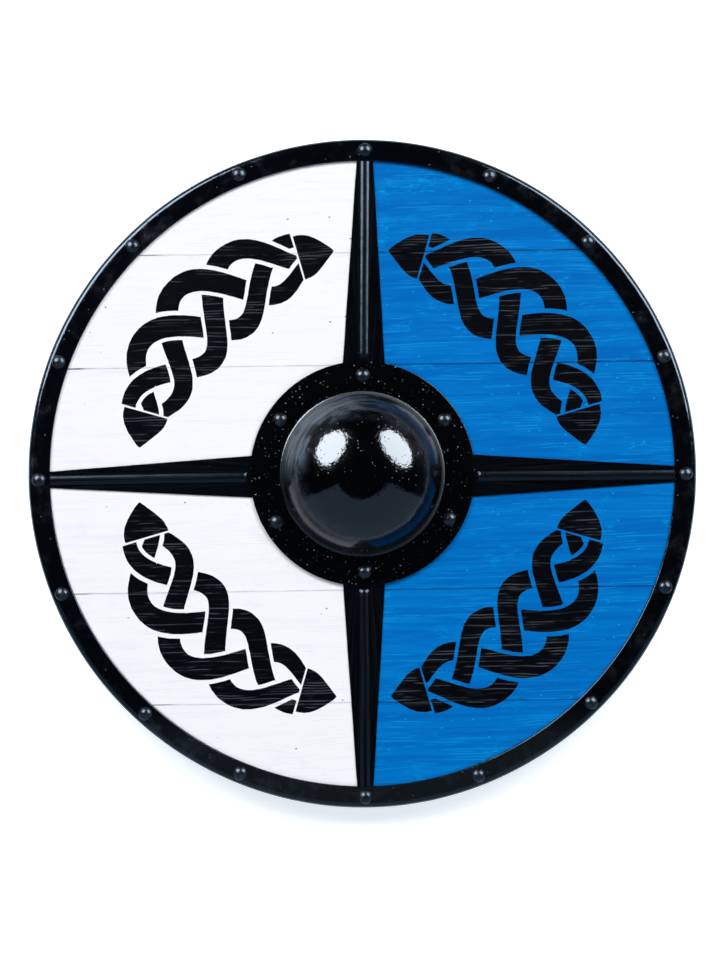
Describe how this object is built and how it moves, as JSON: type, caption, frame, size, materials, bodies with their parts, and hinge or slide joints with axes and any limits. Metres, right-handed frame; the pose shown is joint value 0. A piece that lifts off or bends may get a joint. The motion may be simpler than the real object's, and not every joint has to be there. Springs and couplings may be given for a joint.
{
  "type": "wooden round shield",
  "caption": "Painted plank round shield with a folded steel rim, cross straps, a raised hollow boss and a wooden grip behind it.",
  "frame": {"origin": "on the surface the shield lies on, under the middle of its disc", "axes": "+Z out of the shield's front face, up when it lies on its grip; +Y towards the top of the shield; +X to the right seen from the front"},
  "size_m": [0.61, 0.61, 0.1044],
  "materials": {
    "painted_boards": "satin",
    "black_rim": "satin",
    "black_straps": "satin",
    "black_boss": "gloss",
    "black_rivets": "satin",
    "bare_grip": "satin"
  },
  "bodies": {
    "root": {"board_1": "painted_boards", "board_2": "painted_boards", "board_3": "painted_boards", "board_4": "painted_boards", "board_5": "painted_boards", "board_6": "painted_boards", "rim": "black_rim", "strap_top": "black_straps", "strap_right": "black_straps", "strap_bottom": "black_straps", "strap_left": "black_straps", "boss": "black_boss", "grip": "bare_grip", "boss_rivet_1": "black_rivets", "boss_rivet_2": "black_rivets", "boss_rivet_3": "black_rivets", "boss_rivet_4": "black_rivets", "boss_rivet_5": "black_rivets", "boss_rivet_6": "black_rivets", "rim_rivet_01": "black_rivets", "rim_rivet_02": "black_rivets", "rim_rivet_03": "black_rivets", "rim_rivet_04": "black_rivets", "rim_rivet_05": "black_rivets", "rim_rivet_06": "black_rivets", "rim_rivet_07": "black_rivets", "rim_rivet_08": "black_rivets", "rim_rivet_09": "black_rivets", "rim_rivet_10": "black_rivets", "rim_rivet_11": "black_rivets", "rim_rivet_12": "black_rivets", "rim_rivet_13": "black_rivets", "rim_rivet_14": "black_rivets", "rim_rivet_15": "black_rivets", "rim_rivet_16": "black_rivets"}
  },
  "joints": []
}
